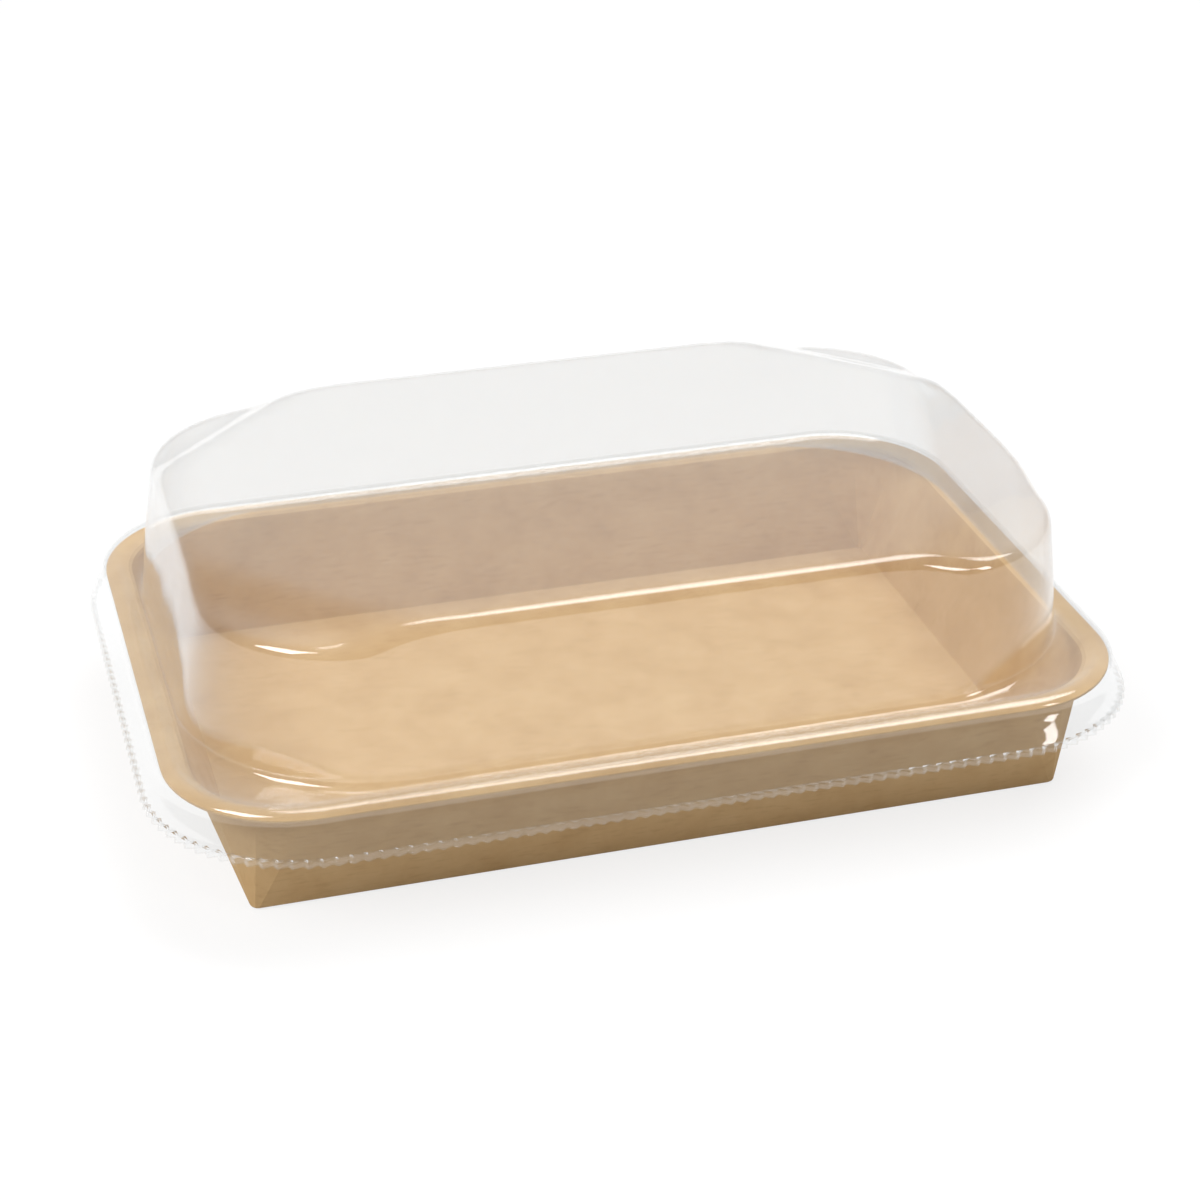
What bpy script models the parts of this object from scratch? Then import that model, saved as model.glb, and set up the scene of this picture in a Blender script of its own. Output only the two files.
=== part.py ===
"""A takeaway food tray of folded kraft board, closed by a clear dome lid pressed over its rim.

Metres, +Z up. The origin is the middle of the underside of the tray, and +X runs along its length.
The lid's skirt clears the tray's rim all round, so that neither solid touches the other.
"""
import math

import bmesh
import bpy

MM = 0.001

# The tray: one blank of board with pleated corners and a flat rim
BOARD = 0.6 * MM
BASE_LENGTH = 155.0 * MM
BASE_WIDTH = 103.0 * MM
BASE_CORNER = 1.5 * MM
MOUTH_LENGTH = 170.2 * MM
MOUTH_WIDTH = 114.8 * MM
MOUTH_CORNER = 18.5 * MM
RIM_LENGTH = 180.0 * MM
RIM_WIDTH = 124.5 * MM
RIM_CORNER = 24.0 * MM
RIM_HEIGHT = 24.0 * MM
FOLD = 0.4 * MM

# The lid: one thermoformed sheet
SHEET = 0.4 * MM
SKIRT_LENGTH = 188.0 * MM
SKIRT_WIDTH = 134.0 * MM
SKIRT_CORNER = 30.0 * MM
SKIRT_FOOT = 16.8 * MM
KNURL_BAND = 1.2 * MM
RIM_GAP = 0.4 * MM
RIDGE_HEIGHT = 25.7 * MM
DOME_LENGTH = 169.4 * MM
DOME_WIDTH = 114.2 * MM
DOME_CORNER = 34.0 * MM
TOP_LENGTH = 161.6 * MM
TOP_WIDTH = 107.4 * MM
TOP_CORNER = 26.0 * MM
TOP_HEIGHT = 54.0 * MM
TOP_EDGE = 2.4 * MM

# The lid's four stacking steps: beyond a diagonal line the top lies lower
STEP_DROP = 3.0 * MM
STEP_START = 99.0 * MM
STEP_END = 108.0 * MM

CORNER_STEPS = 8
SIDE_STATIONS = (0.06, 0.12, 0.2, 0.3, 0.5, 0.7, 0.8, 0.88, 0.94)

KRAFT = (0.56, 0.36, 0.19)
CLEAR = (0.93, 0.95, 0.95)


def clear_scene():
    for thing in list(bpy.data.objects):
        bpy.data.objects.remove(thing, do_unlink=True)


def new_collection(name):
    collection = bpy.data.collections.new(name)
    bpy.context.scene.collection.children.link(collection)
    return collection


def principled(name, colour, roughness, transmission=0.0):
    material = bpy.data.materials.new(name)
    material.use_nodes = True
    shader = material.node_tree.nodes["Principled BSDF"]
    shader.inputs["Base Color"].default_value = (*colour, 1.0)
    shader.inputs["Roughness"].default_value = roughness
    shader.inputs["Metallic"].default_value = 0.0
    shader.inputs["Transmission Weight"].default_value = transmission
    return material


def outline(length, width, corner, height):
    """Points of a rounded rectangle, anticlockwise from above, the same number for every size."""
    half_x = length / 2 - corner
    half_y = width / 2 - corner
    arcs = []
    for sign_x, sign_y, start in ((1, -1, -90), (1, 1, 0), (-1, 1, 90), (-1, -1, 180)):
        arc = []
        for step in range(CORNER_STEPS + 1):
            angle = math.radians(start + 90 * step / CORNER_STEPS)
            x = sign_x * half_x + corner * math.cos(angle)
            y = sign_y * half_y + corner * math.sin(angle)
            arc.append((x, y, height))
        arcs.append(arc)
    points = []
    for arc, following in zip(arcs, arcs[1:] + arcs[:1]):
        points += arc
        (x0, y0, _), (x1, y1, _) = arc[-1], following[0]
        points += [(x0 + (x1 - x0) * t, y0 + (y1 - y0) * t, height) for t in SIDE_STATIONS]
    return points


def between(low, high, share):
    """The outline sizes a share of the way from low to high, each (length, width, corner, height)."""
    return tuple(a + (b - a) * share for a, b in zip(low, high))


def inset(size, amount, height):
    length, width, corner, _ = size
    return (length - 2 * amount, width - 2 * amount, corner - amount, height)


def lowered(points):
    """Drops the points beyond the diagonal step lines, with a smooth slope between top and step."""
    moved = []
    for x, y, z in points:
        share = (abs(x) + abs(y) - STEP_START) / (STEP_END - STEP_START)
        share = min(max(share, 0.0), 1.0)
        moved.append((x, y, z - STEP_DROP * share * share * (3 - 2 * share)))
    return moved


def loft(name, rings, capped):
    """An open surface through the rings, closed by one flat face across the ring at index capped."""
    mesh = bpy.data.meshes.new(name)
    shape = bmesh.new()
    loops = [[shape.verts.new(point) for point in ring] for ring in rings]
    for lower, upper in zip(loops, loops[1:]):
        count = len(lower)
        for i in range(count):
            j = (i + 1) % count
            shape.faces.new((lower[i], lower[j], upper[j], upper[i]))
    shape.faces.new(loops[capped] if capped else list(reversed(loops[0])))
    shape.normal_update()
    shape.to_mesh(mesh)
    shape.free()
    return bpy.data.objects.new(name, mesh)


def finish_shell(shell, thickness, material, collection):
    """Gives the surface its wall, on the inner side, and shades it smooth."""
    wall = shell.modifiers.new("wall", "SOLIDIFY")
    wall.thickness = thickness
    wall.offset = -1.0
    wall.use_even_offset = True
    shell.data.materials.append(material)
    shell.data.shade_smooth()
    shell.data.set_sharp_from_angle(angle=math.radians(35))
    collection.objects.link(shell)


def make_tray(collection):
    """The lower face of the board: base, walls whose sharp corners open into cones, and the rim."""
    under_rim = RIM_HEIGHT - BOARD
    rings = [
        outline(BASE_LENGTH, BASE_WIDTH, BASE_CORNER, 0.0),
        outline(MOUTH_LENGTH, MOUTH_WIDTH, MOUTH_CORNER, under_rim - FOLD),
        outline(MOUTH_LENGTH + 2 * FOLD, MOUTH_WIDTH + 2 * FOLD, MOUTH_CORNER + FOLD, under_rim),
        outline(RIM_LENGTH, RIM_WIDTH, RIM_CORNER, under_rim),
    ]
    tray = loft("tray", rings, 0)
    finish_shell(tray, BOARD, principled("tray_board", KRAFT, 0.85), collection)


def skirt_rings():
    """The flared skirt, from its knurled foot up to the shoulder that wraps the tray's rim."""
    grow = RIM_GAP + SHEET
    foot = (SKIRT_LENGTH, SKIRT_WIDTH, SKIRT_CORNER, SKIRT_FOOT)
    hip = (RIM_LENGTH + 2 * grow, RIM_WIDTH + 2 * grow, RIM_CORNER + grow, RIM_HEIGHT - 1.4 * MM)
    shoulder = inset(hip, 0.0, RIM_HEIGHT + 0.3 * MM)
    return [
        outline(*foot),
        outline(*inset(foot, 0.0, SKIRT_FOOT + KNURL_BAND)),
        outline(*inset(hip, -0.3 * MM, hip[3])),
        outline(*shoulder),
        outline(*inset(shoulder, 0.9 * MM, RIDGE_HEIGHT - 0.4 * MM)),
    ]


def flange_rings():
    """The rounded ridge above the rim and the shallow valley between it and the dome."""
    rim = (RIM_LENGTH, RIM_WIDTH, RIM_CORNER, RIDGE_HEIGHT)
    return [
        outline(*inset(rim, 1.8 * MM, RIDGE_HEIGHT)),
        outline(*inset(rim, 3.0 * MM, RIDGE_HEIGHT - 0.3 * MM)),
        outline(*inset(rim, 4.1 * MM, RIDGE_HEIGHT - 0.9 * MM)),
    ]


def dome_rings():
    """The drafted wall, its rounded top edge, and the top as far as its flat middle."""
    foot = (DOME_LENGTH, DOME_WIDTH, DOME_CORNER, RIDGE_HEIGHT - 0.6 * MM)
    bottom = inset(foot, 0.6 * MM, RIDGE_HEIGHT + 1.8 * MM)
    brow = (TOP_LENGTH, TOP_WIDTH, TOP_CORNER, TOP_HEIGHT - TOP_EDGE)
    rings = [outline(*foot), outline(*bottom), outline(*between(bottom, brow, 0.5))]
    for degrees in (0, 30, 60, 90):
        angle = math.radians(degrees)
        depth = TOP_EDGE * (1 - math.cos(angle))
        height = TOP_HEIGHT - TOP_EDGE * (1 - math.sin(angle))
        rings.append(lowered(outline(*inset(brow, depth, height))))
    for further in (3.0 * MM, 6.5 * MM, 10.0 * MM, 14.0 * MM):
        rings.append(lowered(outline(*inset(brow, TOP_EDGE + further, TOP_HEIGHT))))
    return rings


def make_lid(collection):
    rings = skirt_rings() + flange_rings() + dome_rings()
    lid = loft("lid", rings, len(rings) - 1)
    finish_shell(lid, SHEET, principled("lid_clear", CLEAR, 0.08, 1.0), collection)


clear_scene()
package = new_collection("takeaway_sushi_tray")
make_tray(package)
make_lid(package)
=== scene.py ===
import math

import bmesh
import bpy
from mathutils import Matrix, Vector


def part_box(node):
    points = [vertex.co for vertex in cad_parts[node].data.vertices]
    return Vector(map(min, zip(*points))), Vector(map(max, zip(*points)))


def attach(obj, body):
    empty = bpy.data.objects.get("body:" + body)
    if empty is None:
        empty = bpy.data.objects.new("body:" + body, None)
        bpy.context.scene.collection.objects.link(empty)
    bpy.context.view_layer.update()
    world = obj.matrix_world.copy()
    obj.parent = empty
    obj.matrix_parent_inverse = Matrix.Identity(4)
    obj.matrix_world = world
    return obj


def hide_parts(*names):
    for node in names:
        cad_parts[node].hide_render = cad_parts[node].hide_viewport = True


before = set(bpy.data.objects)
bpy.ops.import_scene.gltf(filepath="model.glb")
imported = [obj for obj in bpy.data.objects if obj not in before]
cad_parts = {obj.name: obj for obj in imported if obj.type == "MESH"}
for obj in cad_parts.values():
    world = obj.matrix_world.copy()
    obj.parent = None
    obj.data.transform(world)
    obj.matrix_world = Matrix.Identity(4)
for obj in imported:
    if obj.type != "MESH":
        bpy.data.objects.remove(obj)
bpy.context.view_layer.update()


# ---- The tray ------------------------------------------------------------------------------------
# One blank of brown kraft board, half a millimetre thick, with a thin food coating on its inner face.
# The walls are creased and folded up from the base, each corner closes in flat pleats that open into
# the round corner of the mouth, and the rim is pressed flat all round to carry the lid.

tray_low, tray_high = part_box("tray")
BOARD = 0.00055
RIM_LENGTH = tray_high.x - tray_low.x
RIM_WIDTH = tray_high.y - tray_low.y
RIM_TOP = tray_high.z
RIM_CORNER = 0.024
RIM_UNDER = RIM_TOP - BOARD
BASE_LENGTH, BASE_WIDTH, BASE_CORNER = 0.155, 0.103, 0.0015
MOUTH_LENGTH, MOUTH_WIDTH, MOUTH_CORNER = 0.1702, 0.1148, 0.0185
PLEATS = 3            # flat pleats that close each corner of the wall
CORNER_EDGES = 18     # edges round one corner of any loop of the tray or the lid


def start_piece(name):
    """A new empty mesh, open for editing, with nothing else selected."""
    bpy.ops.object.select_all(action="DESELECT")
    piece = bpy.data.objects.new(name, bpy.data.meshes.new(name))
    bpy.context.scene.collection.objects.link(piece)
    piece.select_set(True)
    bpy.context.view_layer.objects.active = piece
    bpy.ops.object.mode_set(mode="EDIT")
    bpy.context.tool_settings.mesh_select_mode = (False, True, False)
    return piece


def select_where(piece, kind, wanted):
    """In edit mode, selects just the verts, edges or faces (the kind) for which wanted(part) is true."""
    bpy.ops.mesh.select_all(action="DESELECT")
    for part in getattr(bmesh.from_edit_mesh(piece.data), kind):
        if wanted(part):
            part.select_set(True)
    bmesh.update_edit_mesh(piece.data)


def runs(edge, axis):
    """True for an edge of a new, unjoined loop that runs along X (axis 0) or Y (axis 1)."""
    a, b = edge.verts
    return edge.is_wire and abs(a.co[1 - axis] - b.co[1 - axis]) < 1e-6


def add_loop(piece, size, cuts, facets=CORNER_EDGES, rings=0):
    """Adds a rounded rectangle (length, width, corner, height) of edges and bridges the last one to it.

    The corners are round, or closed in flat facets, and cuts are the extra points on a long and a short
    side. The first loop of a piece is filled as its cap, so the only open edges are the last loop's and
    the new one's. Two loops never lie in one plane, where the bridge can't tell which way round they go.
    """
    length, width, corner, height = size
    capped = len(bmesh.from_edit_mesh(piece.data).faces) > 0
    bpy.ops.mesh.select_all(action="DESELECT")
    bpy.ops.mesh.primitive_plane_add(size=1.0, location=(0, 0, height))
    bpy.ops.transform.resize(value=(length, width, 1.0), center_override=(0, 0, height))
    bpy.ops.mesh.bevel(affect="VERTICES", offset=corner, segments=facets, profile=0.5)
    bpy.ops.mesh.delete(type="ONLY_FACE")
    if facets < CORNER_EDGES:
        select_where(piece, "edges", lambda e: e.is_wire and not runs(e, 0) and not runs(e, 1))
        bpy.ops.mesh.subdivide(number_cuts=CORNER_EDGES // facets - 1)
    for axis in (0, 1):
        select_where(piece, "edges", lambda e: runs(e, axis))
        bpy.ops.mesh.subdivide(number_cuts=cuts[axis])
    bpy.ops.mesh.select_non_manifold(
        extend=False, use_multi_face=False, use_non_contiguous=False, use_verts=False)
    if capped:
        bpy.ops.mesh.bridge_edge_loops(number_cuts=rings, interpolation="LINEAR")
    else:
        bpy.ops.mesh.edge_face_add()


def face_outwards(piece, cap_faces_up):
    """Makes all faces agree, with the flat cap facing up or down, and leaves edit mode."""
    bpy.ops.mesh.select_all(action="SELECT")
    bpy.ops.mesh.normals_make_consistent(inside=False)
    cap = max(bmesh.from_edit_mesh(piece.data).faces, key=lambda face: face.calc_area())
    if (cap.normal.z > 0) != cap_faces_up:
        bpy.ops.mesh.flip_normals()
    bpy.ops.object.mode_set(mode="OBJECT")


def give(piece, kind, **settings):
    """Adds a modifier with these settings and applies it."""
    modifier = piece.modifiers.new(kind.lower(), kind)
    for name, value in settings.items():
        setattr(modifier, name, value)
    bpy.context.view_layer.objects.active = piece
    bpy.ops.object.modifier_apply(modifier=modifier.name)


def wall_size(share):
    """The wall's outline this share of the way from the base to the mouth."""
    low = (BASE_LENGTH, BASE_WIDTH, BASE_CORNER, 0.0004)
    high = (MOUTH_LENGTH, MOUTH_WIDTH, MOUTH_CORNER, RIM_UNDER - 0.0008)
    return tuple(a + (b - a) * share for a, b in zip(low, high))


def grown(length, width, corner, by, height):
    """A rounded rectangle moved out (or, below zero, in) by this much all round, at this height."""
    return length + 2 * by, width + 2 * by, corner + by, height


TRAY_CUTS = (24, 15)
tray = start_piece("kraft_tray")
add_loop(tray, (BASE_LENGTH - 0.0008, BASE_WIDTH - 0.0008, BASE_CORNER - 0.0004, 0.0), TRAY_CUTS, PLEATS)

# the pleats stay flat for most of the wall, then open into the round mouth
for share in (0.0, 0.3, 0.62):
    add_loop(tray, wall_size(share), TRAY_CUTS, PLEATS)
add_loop(tray, wall_size(1.0), TRAY_CUTS, rings=3)

# the fold from wall to rim, and the rim itself, which droops a little at its edge
for out, drop in ((0.0002, 0.0004), (0.0006, 0.00015), (0.0013, 0.00004)):
    add_loop(tray, grown(MOUTH_LENGTH, MOUTH_WIDTH, MOUTH_CORNER, out, RIM_UNDER - drop), TRAY_CUTS)
for inward, drop in ((0.0022, 0.0), (0.0, 0.00005)):
    add_loop(tray, grown(RIM_LENGTH, RIM_WIDTH, RIM_CORNER, -inward, RIM_UNDER - drop), TRAY_CUTS)
face_outwards(tray, cap_faces_up=False)
give(tray, "SOLIDIFY", thickness=BOARD, offset=-1.0, use_even_offset=True)
give(tray, "BEVEL", width=0.00012, segments=2, limit_method="ANGLE", angle_limit=math.radians(50))
bpy.ops.object.shade_smooth_by_angle(angle=math.radians(14))


def node(tree, kind, inputs=None, **settings):
    """A shader node with its settings, and its inputs given as plain values or as outputs to link."""
    made = tree.nodes.new(kind)
    for name, value in settings.items():
        setattr(made, name, value)
    for name, value in (inputs or {}).items():
        if isinstance(value, bpy.types.NodeSocket):
            tree.links.new(value, made.inputs[name])
        else:
            made.inputs[name].default_value = value
    return made


def ramp(tree, factor, *stops):
    """A colour ramp through (position, (r, g, b)) stops."""
    made = node(tree, "ShaderNodeValToRGB", {"Fac": factor})
    while len(made.color_ramp.elements) < len(stops):
        made.color_ramp.elements.new(0.5)
    for element, (position, colour) in zip(made.color_ramp.elements, stops):
        element.position = position
        element.color = (*colour, 1.0)
    return made.outputs["Color"]


def new_material(name):
    material = bpy.data.materials.new(name)
    material.use_nodes = True
    tree = material.node_tree
    tree.nodes.clear()
    return material, tree


def kraft_board():
    """Brown board: mottled pulp, a fine tooth, and long fibres that run up the walls at the two ends."""
    material, tree = new_material("kraft_board")
    place = node(tree, "ShaderNodeTexCoord").outputs["Object"]
    pulp = node(tree, "ShaderNodeTexNoise", {
        "Vector": place, "Scale": 90.0, "Detail": 6.0, "Roughness": 0.6})
    colour = ramp(tree, pulp.outputs["Fac"],
                  (0.3, (0.53, 0.338, 0.155)), (0.5, (0.58, 0.382, 0.185)), (0.72, (0.62, 0.422, 0.215)))
    flat_run = node(tree, "ShaderNodeMapping", {"Vector": place, "Scale": (260.0, 1500.0, 1500.0)})
    upright_run = node(tree, "ShaderNodeMapping", {"Vector": place, "Scale": (1500.0, 1500.0, 260.0)})
    facing = node(tree, "ShaderNodeSeparateXYZ", {0: node(tree, "ShaderNodeNewGeometry").outputs["Normal"]})
    sideways = node(tree, "ShaderNodeMath", {0: facing.outputs["X"]}, operation="ABSOLUTE")
    end_wall = node(tree, "ShaderNodeMath", {0: sideways.outputs[0], 1: 0.6}, operation="GREATER_THAN")
    run = node(tree, "ShaderNodeMix", data_type="VECTOR")
    tree.links.new(end_wall.outputs[0], run.inputs[0])
    tree.links.new(flat_run.outputs[0], run.inputs[4])
    tree.links.new(upright_run.outputs[0], run.inputs[5])
    fibre = node(tree, "ShaderNodeTexNoise", {"Vector": run.outputs[1], "Scale": 1.0, "Detail": 3.0})
    flecks = ramp(tree, fibre.outputs["Fac"],
                  (0.3, (0.80, 0.77, 0.72)), (0.45, (1.0, 1.0, 1.0)),
                  (0.62, (1.0, 1.0, 1.0)), (0.78, (1.14, 1.13, 1.1)))
    mixed = node(tree, "ShaderNodeMix", data_type="RGBA", blend_type="MULTIPLY")
    mixed.inputs["Factor"].default_value = 0.4
    tree.links.new(colour, mixed.inputs["A"])
    tree.links.new(flecks, mixed.inputs["B"])
    tooth = node(tree, "ShaderNodeTexNoise", {
        "Vector": place, "Scale": 2200.0, "Detail": 3.0, "Roughness": 0.6})
    height = node(tree, "ShaderNodeMath", {0: tooth.outputs["Fac"], 1: fibre.outputs["Fac"]},
                  operation="ADD")
    bump = node(tree, "ShaderNodeBump", {"Height": height.outputs[0], "Strength": 0.1, "Distance": 0.00004})
    rough = node(tree, "ShaderNodeMapRange", {"Value": pulp.outputs["Fac"], "To Min": 0.72, "To Max": 0.88})
    board = node(tree, "ShaderNodeBsdfPrincipled", {
        "Base Color": mixed.outputs["Result"], "Roughness": rough.outputs["Result"],
        "Normal": bump.outputs["Normal"], "Specular IOR Level": 0.3})
    node(tree, "ShaderNodeOutputMaterial", {"Surface": board.outputs["BSDF"]})
    return material


tray.data.materials.append(kraft_board())
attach(tray, "root")
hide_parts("tray")


# ---- The lid -------------------------------------------------------------------------------------
# One clear sheet, heated and drawn down over a mould. Its skirt flares out below the tray's rim and ends
# in a knurled foot, a rounded ridge sits on the rim, and a valley leads to the dome. The top has four
# lowered corners that stop a stack from sliding. It presses on and lifts off whole.

lid_low, lid_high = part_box("lid")
SHEET = 0.00035
SKIRT = (lid_high.x - lid_low.x, lid_high.y - lid_low.y, 0.030)    # length, width, corner
DOME_LENGTH, DOME_WIDTH, DOME_CORNER = 0.1694, 0.1142, 0.034
TOP_LENGTH, TOP_WIDTH, TOP_CORNER = 0.1616, 0.1074, 0.026
TOP_EDGE = 0.0024     # radius of the rounded edge between wall and top
TOP = lid_high.z
CROWN = 0.00015       # how far the flat of the top falls away towards its edge
RIDGE = RIM_TOP + 0.0017


def lid_size(grow, height, corner_grow=None):
    """The outline that lies this far outside the tray's rim."""
    corner = RIM_CORNER + (grow if corner_grow is None else corner_grow)
    return (RIM_LENGTH + 2 * grow, RIM_WIDTH + 2 * grow, corner, height)


def dome_size(share, height):
    """The dome wall's outline this share of the way from its foot to the rounded top edge."""
    low = (DOME_LENGTH, DOME_WIDTH, DOME_CORNER)
    high = (TOP_LENGTH, TOP_WIDTH, TOP_CORNER)
    return (*(a + (b - a) * share for a, b in zip(low, high)), height)


def lid_loops():
    """Every loop of the lid's outer face, from the edge of the top's flat middle to the skirt's foot."""
    for ring in range(7):
        inward = TOP_EDGE + 0.014 - 0.002 * ring
        yield TOP_LENGTH - 2 * inward, TOP_WIDTH - 2 * inward, TOP_CORNER - inward, TOP - CROWN * ring / 7
    for degrees in (90, 70, 50, 25, 0):
        angle = math.radians(degrees)
        inward = TOP_EDGE * (1 - math.cos(angle))
        height = TOP - CROWN - TOP_EDGE * (1 - math.sin(angle))
        yield TOP_LENGTH - 2 * inward, TOP_WIDTH - 2 * inward, TOP_CORNER - inward, height
    for share, rise in ((0.94, 0.0240), (0.8, 0.0205), (0.6, 0.0155), (0.4, 0.0100), (0.2, 0.0045),
                        (0.06, 0.0008), (0.0, -0.0003)):
        yield dome_size(share, RIDGE + rise)
    yield lid_size(-0.0049, RIM_TOP + 0.0009, 0.006)
    yield lid_size(-0.0043, RIM_TOP + 0.0008, 0.001)
    for grow, rise in ((-0.0035, 0.0010), (-0.0027, 0.0014), (-0.0018, 0.0017), (-0.0009, 0.0016),
                       (0.0, 0.0013), (0.0006, 0.0008), (0.0008, 0.0002), (0.0010, -0.0012)):
        yield lid_size(grow, RIM_TOP + rise)
    for share, rise in ((0.8, 0.0050), (0.45, 0.0034)):
        yield *(a + (b - a) * share for a, b in zip(SKIRT, lid_size(0.0011, 0.0))), lid_low.z + rise
    for inward, rise in ((0.0008, 0.0016), (0.0001, 0.0012), (0.0, 0.0006), (0.0, 0.0)):
        yield SKIRT[0] - 2 * inward, SKIRT[1] - 2 * inward, SKIRT[2] - inward, lid_low.z + rise


lid = start_piece("clear_lid")
for size in lid_loops():
    add_loop(lid, size, (48, 27))

# the four corners of the top are pushed down in many small moves, each from a line a little further
# out, and reaching further down the wall in some than in others, so the steps are ramps with no kink
STEP_DROP = 0.003
STEP_START = 0.099     # |x| + |y| where a corner starts to fall
STEP_END = 0.108       # |x| + |y| where it is all the way down
STEP_PASSES = 24
for turn in range(STEP_PASSES):
    line = STEP_START + (STEP_END - STEP_START) * (turn + 0.5) / STEP_PASSES
    reach = 0.004 + 0.016 * (turn * 7 % STEP_PASSES) / STEP_PASSES
    select_where(lid, "verts", lambda v: abs(v.co.x) + abs(v.co.y) > line and v.co.z > TOP - reach)
    bpy.ops.transform.translate(value=(0, 0, -STEP_DROP / STEP_PASSES))
flat_floor = TOP - STEP_DROP - 2 * CROWN
select_where(lid, "verts", lambda v: abs(v.co.x) + abs(v.co.y) > STEP_START - 0.006 and v.co.z > flat_floor)
bpy.ops.mesh.vertices_smooth(factor=0.5, repeat=6, xaxis=False, yaxis=False, zaxis=True)

# the cap is taken out while the sheet is smoothed, because one face of so many sides smooths very slowly
bpy.context.tool_settings.mesh_select_mode = (False, False, True)
select_where(lid, "faces", lambda face: len(face.verts) > 4)
bpy.ops.mesh.delete(type="ONLY_FACE")
bpy.ops.object.mode_set(mode="OBJECT")
give(lid, "SUBSURF", levels=1, render_levels=1)
bpy.ops.object.mode_set(mode="EDIT")
bpy.context.tool_settings.mesh_select_mode = (False, True, False)
select_where(lid, "edges", lambda e: e.is_boundary and e.verts[0].co.z > RIDGE + 0.01)
bpy.ops.mesh.edge_face_add()
face_outwards(lid, cap_faces_up=True)

# the knurl: going round the foot, every second column of points is pushed in to leave a row of ribs
KNURL_PROUD = 0.0008     # how far every second rib of the foot is pushed in
KNURL_BAND = 0.0013      # height of the ribs
bpy.ops.object.mode_set(mode="EDIT")
bpy.context.tool_settings.mesh_select_mode = (True, False, False)
bpy.ops.mesh.select_all(action="DESELECT")
shape = bmesh.from_edit_mesh(lid.data)
start = next(vert for vert in shape.verts if vert.is_boundary)
came, vert, count = None, start, 0
while count == 0 or vert is not start:
    came = next(edge for edge in vert.link_edges if edge.is_boundary and edge is not came)
    vert = came.other_vert(vert)
    count += 1
    rib, below = vert, came
    while count % 2 and rib.co.z < lid_low.z + KNURL_BAND:
        rib.select_set(True)
        onward = (edge for edge in rib.link_edges if edge is not below)
        below = max(onward, key=lambda edge: edge.other_vert(rib).co.z)
        rib = below.other_vert(rib)
bmesh.update_edit_mesh(lid.data)
bpy.ops.transform.resize(value=(1 - KNURL_PROUD / SKIRT[0] * 2, 1 - KNURL_PROUD / SKIRT[1] * 2, 1),
                         center_override=(0, 0, 0))
bpy.ops.object.mode_set(mode="OBJECT")
give(lid, "SOLIDIFY", thickness=SHEET, offset=-1.0, use_even_offset=True)
bpy.ops.object.shade_smooth_by_angle(angle=math.radians(40))


HEAD_ON_GLOSS = 0.055    # what each face mirrors of light that meets it squarely


def clear_sheet():
    """Clear sheet: a faint haze, a little more of it edge on, gloss on both faces, and soft flow waves."""
    material, tree = new_material("clear_sheet")
    place = node(tree, "ShaderNodeTexCoord").outputs["Object"]
    waves = node(tree, "ShaderNodeTexNoise", {
        "Vector": place, "Scale": 38.0, "Detail": 2.0, "Roughness": 0.4})
    bump = node(tree, "ShaderNodeBump", {
        "Height": waves.outputs["Fac"], "Strength": 0.5, "Distance": 0.0004})
    smears = node(tree, "ShaderNodeTexNoise", {"Vector": place, "Scale": 160.0, "Detail": 4.0})
    rough = node(tree, "ShaderNodeMapRange", {
        "Value": smears.outputs["Fac"], "To Min": 0.03, "To Max": 0.11})
    gloss = node(tree, "ShaderNodeBsdfPrincipled", {
        "Base Color": (1.0, 1.0, 1.0, 1.0), "Metallic": 1.0, "Roughness": rough.outputs["Result"],
        "Normal": bump.outputs["Normal"]})
    window = node(tree, "ShaderNodeBsdfTransparent", {"Color": (0.975, 0.98, 0.982, 1.0)})
    haze = node(tree, "ShaderNodeBsdfDiffuse", {"Color": (0.9, 0.91, 0.92, 1.0)})
    edge_on = node(tree, "ShaderNodeLayerWeight", {"Blend": 0.35}).outputs["Facing"]
    haze_share = node(tree, "ShaderNodeMapRange", {
        "Value": edge_on, "From Min": 0.2, "To Min": 0.012, "To Max": 0.12})
    body = node(tree, "ShaderNodeMixShader", {
        0: haze_share.outputs["Result"], 1: window.outputs[0], 2: haze.outputs[0]})
    slant = node(tree, "ShaderNodeLayerWeight", {"Blend": 0.5, "Normal": bump.outputs["Normal"]})
    steep = node(tree, "ShaderNodeMath", {0: slant.outputs["Facing"], 1: 5.0}, operation="POWER")
    mirror_share = node(tree, "ShaderNodeMapRange", {
        "Value": steep.outputs[0], "To Min": HEAD_ON_GLOSS, "To Max": 0.9})
    skin = node(tree, "ShaderNodeMixShader", {
        0: mirror_share.outputs[0], 1: body.outputs[0], 2: gloss.outputs[0]})
    node(tree, "ShaderNodeOutputMaterial", {"Surface": skin.outputs[0]})
    return material


lid.data.materials.append(clear_sheet())
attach(lid, "root")
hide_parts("lid")


# ---- The stage -----------------------------------------------------------------------------------
# A plain white floor, wide enough to reach past the view, which still takes the object's soft shadow.

bpy.ops.object.select_all(action="DESELECT")
bpy.ops.mesh.primitive_plane_add(size=6.0, location=(0, 0, -0.0002))
floor = bpy.context.object
floor.name = "floor"


def seen_or_mirrored(tree):
    """1 for what is seen, straight on, in gloss or through clear parts, and 0 for light on things."""
    path = node(tree, "ShaderNodeLightPath")
    either = node(tree, "ShaderNodeMath", {
        0: path.outputs["Is Camera Ray"], 1: path.outputs["Is Glossy Ray"]}, operation="MAXIMUM")
    return node(tree, "ShaderNodeMath", {0: either.outputs[0], 1: path.outputs["Is Transmission Ray"]},
                operation="MAXIMUM").outputs[0]


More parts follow.
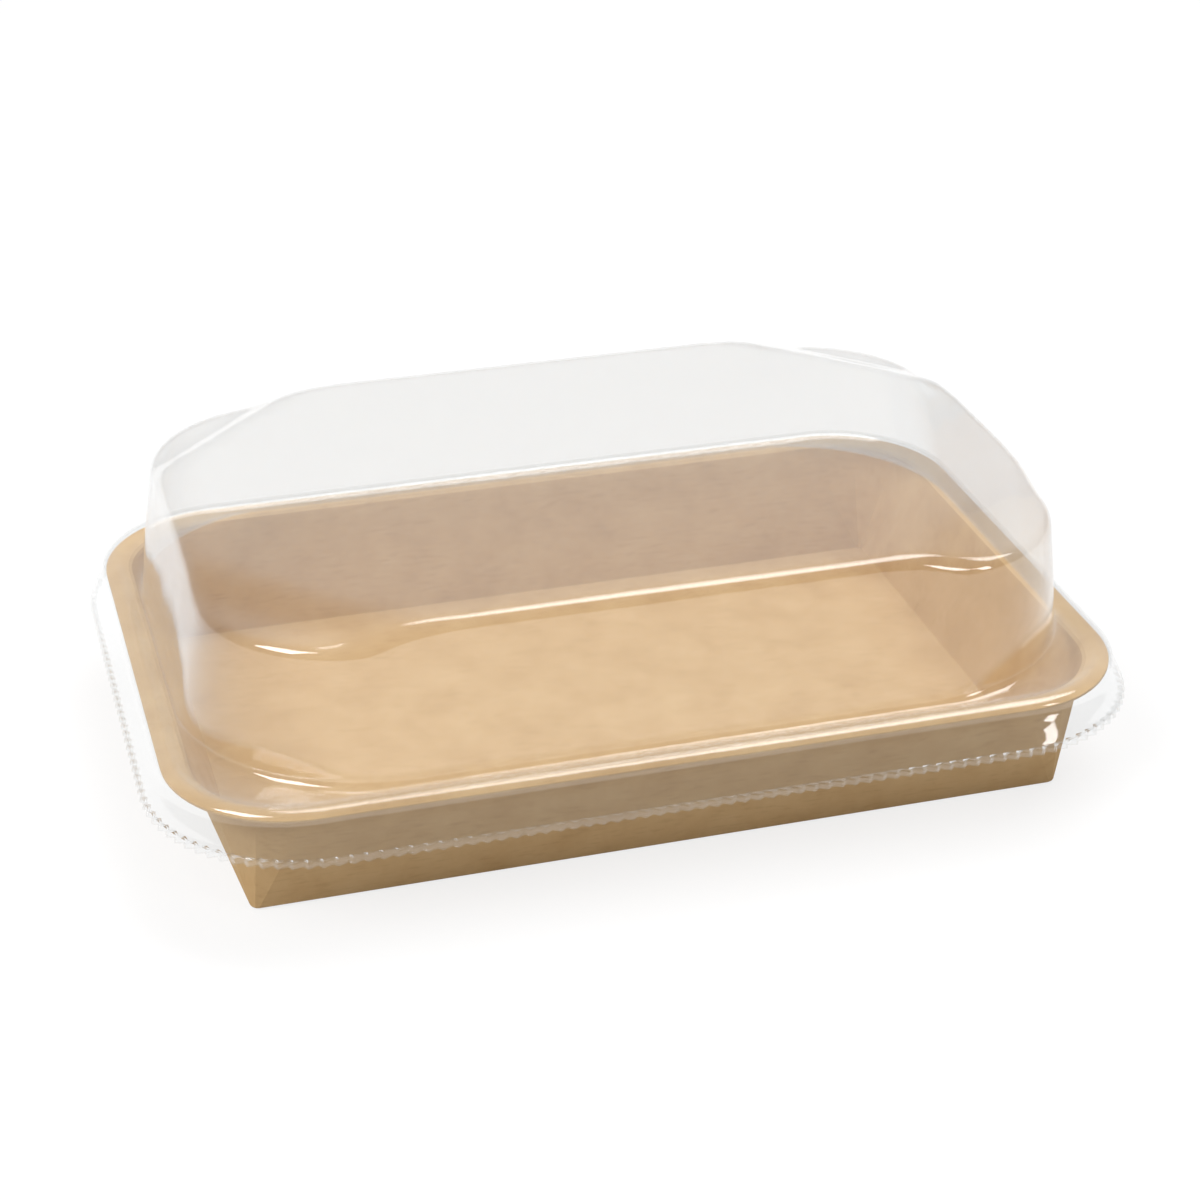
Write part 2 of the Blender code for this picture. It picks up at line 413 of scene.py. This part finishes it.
def white_floor():
    """White to the eye and in gloss, with the soft shadow kept, and darker in the light it throws up."""
    material, tree = new_material("white_floor")
    shade = node(tree, "ShaderNodeMapRange", {
        "Value": seen_or_mirrored(tree), "To Min": 0.58, "To Max": 0.86})
    paper = node(tree, "ShaderNodeBsdfDiffuse", {"Color": shade.outputs["Result"]})
    glow = node(tree, "ShaderNodeEmission", {"Color": (1.0, 1.0, 1.0, 1.0), "Strength": 1.0})
    place = node(tree, "ShaderNodeTexCoord").outputs["Object"]
    away = node(tree, "ShaderNodeVectorMath", {0: place}, operation="LENGTH").outputs["Value"]
    lit = node(tree, "ShaderNodeMapRange", {"Value": away, "From Min": 0.25, "From Max": 0.7,
                                            "To Min": 0.78, "To Max": 1.0})
    share = node(tree, "ShaderNodeMath", {0: seen_or_mirrored(tree), 1: lit.outputs["Result"]},
                 operation="MULTIPLY")
    mixed = node(tree, "ShaderNodeMixShader", {0: share.outputs[0], 1: paper.outputs[0], 2: glow.outputs[0]})
    node(tree, "ShaderNodeOutputMaterial", {"Surface": mixed.outputs[0]})
    return material


floor.data.materials.append(white_floor())


# ---- The light -----------------------------------------------------------------------------------
# A pale room that is dimmer in front, and three soft boxes: one overhead, a big one high on the left and a
# small one at the right, whose shapes show in the lid's ridges and edges.

world = bpy.data.worlds.new("pale_room")
bpy.context.scene.world = world
world.use_nodes = True
world.node_tree.nodes.clear()
room = world.node_tree
way = node(room, "ShaderNodeSeparateXYZ", {0: node(room, "ShaderNodeTexCoord").outputs["Generated"]})
depth = node(room, "ShaderNodeMapRange", {"Value": way.outputs["Y"], "From Min": -0.9, "From Max": 0.7,
                                          "To Min": 0.25, "To Max": 0.62})
seen = node(room, "ShaderNodeLightPath").outputs["Is Camera Ray"]
level = node(room, "ShaderNodeMapRange", {"Value": seen, "To Min": depth.outputs["Result"], "To Max": 1.0})
shell = node(room, "ShaderNodeBackground", {
    "Color": (1.0, 1.0, 1.0, 1.0), "Strength": level.outputs["Result"]})
node(room, "ShaderNodeOutputWorld", {"Surface": shell.outputs[0]})


def soft_box(name, place, size, watts):
    """A rectangular lamp at this place that faces the tray."""
    lamp = bpy.data.lights.new(name, "AREA")
    lamp.shape = "RECTANGLE"
    lamp.size, lamp.size_y = size
    lamp.energy = watts
    box = bpy.data.objects.new(name, lamp)
    bpy.context.scene.collection.objects.link(box)
    box.location = place
    box.rotation_euler = (-box.location).to_track_quat("-Z", "Y").to_euler()
    return box


soft_box("overhead", (0.38, 0.32, 1.1), (0.9, 0.7), 9.8)
soft_box("left", (-0.78, -0.34, 0.92), (0.6, 0.7), 11.0)
soft_box("right", (0.62, -0.7, 0.35), (0.14, 0.3), 0.9)


# ---- The camera ----------------------------------------------------------------------------------
# A long lens that looks down on the tray from the front and a little to the left.

lens = bpy.data.cameras.new("camera")
lens.lens, lens.sensor_width = 80.25, 36.0
camera = bpy.data.objects.new("camera", lens)
bpy.context.scene.collection.objects.link(camera)
camera.location = (-0.1271, -0.4455, 0.2711)
camera.rotation_euler = (math.radians(90 - 28.02), 0.0, math.radians(-16.12))
bpy.context.scene.camera = camera
bpy.context.scene.view_settings.view_transform = "Standard"
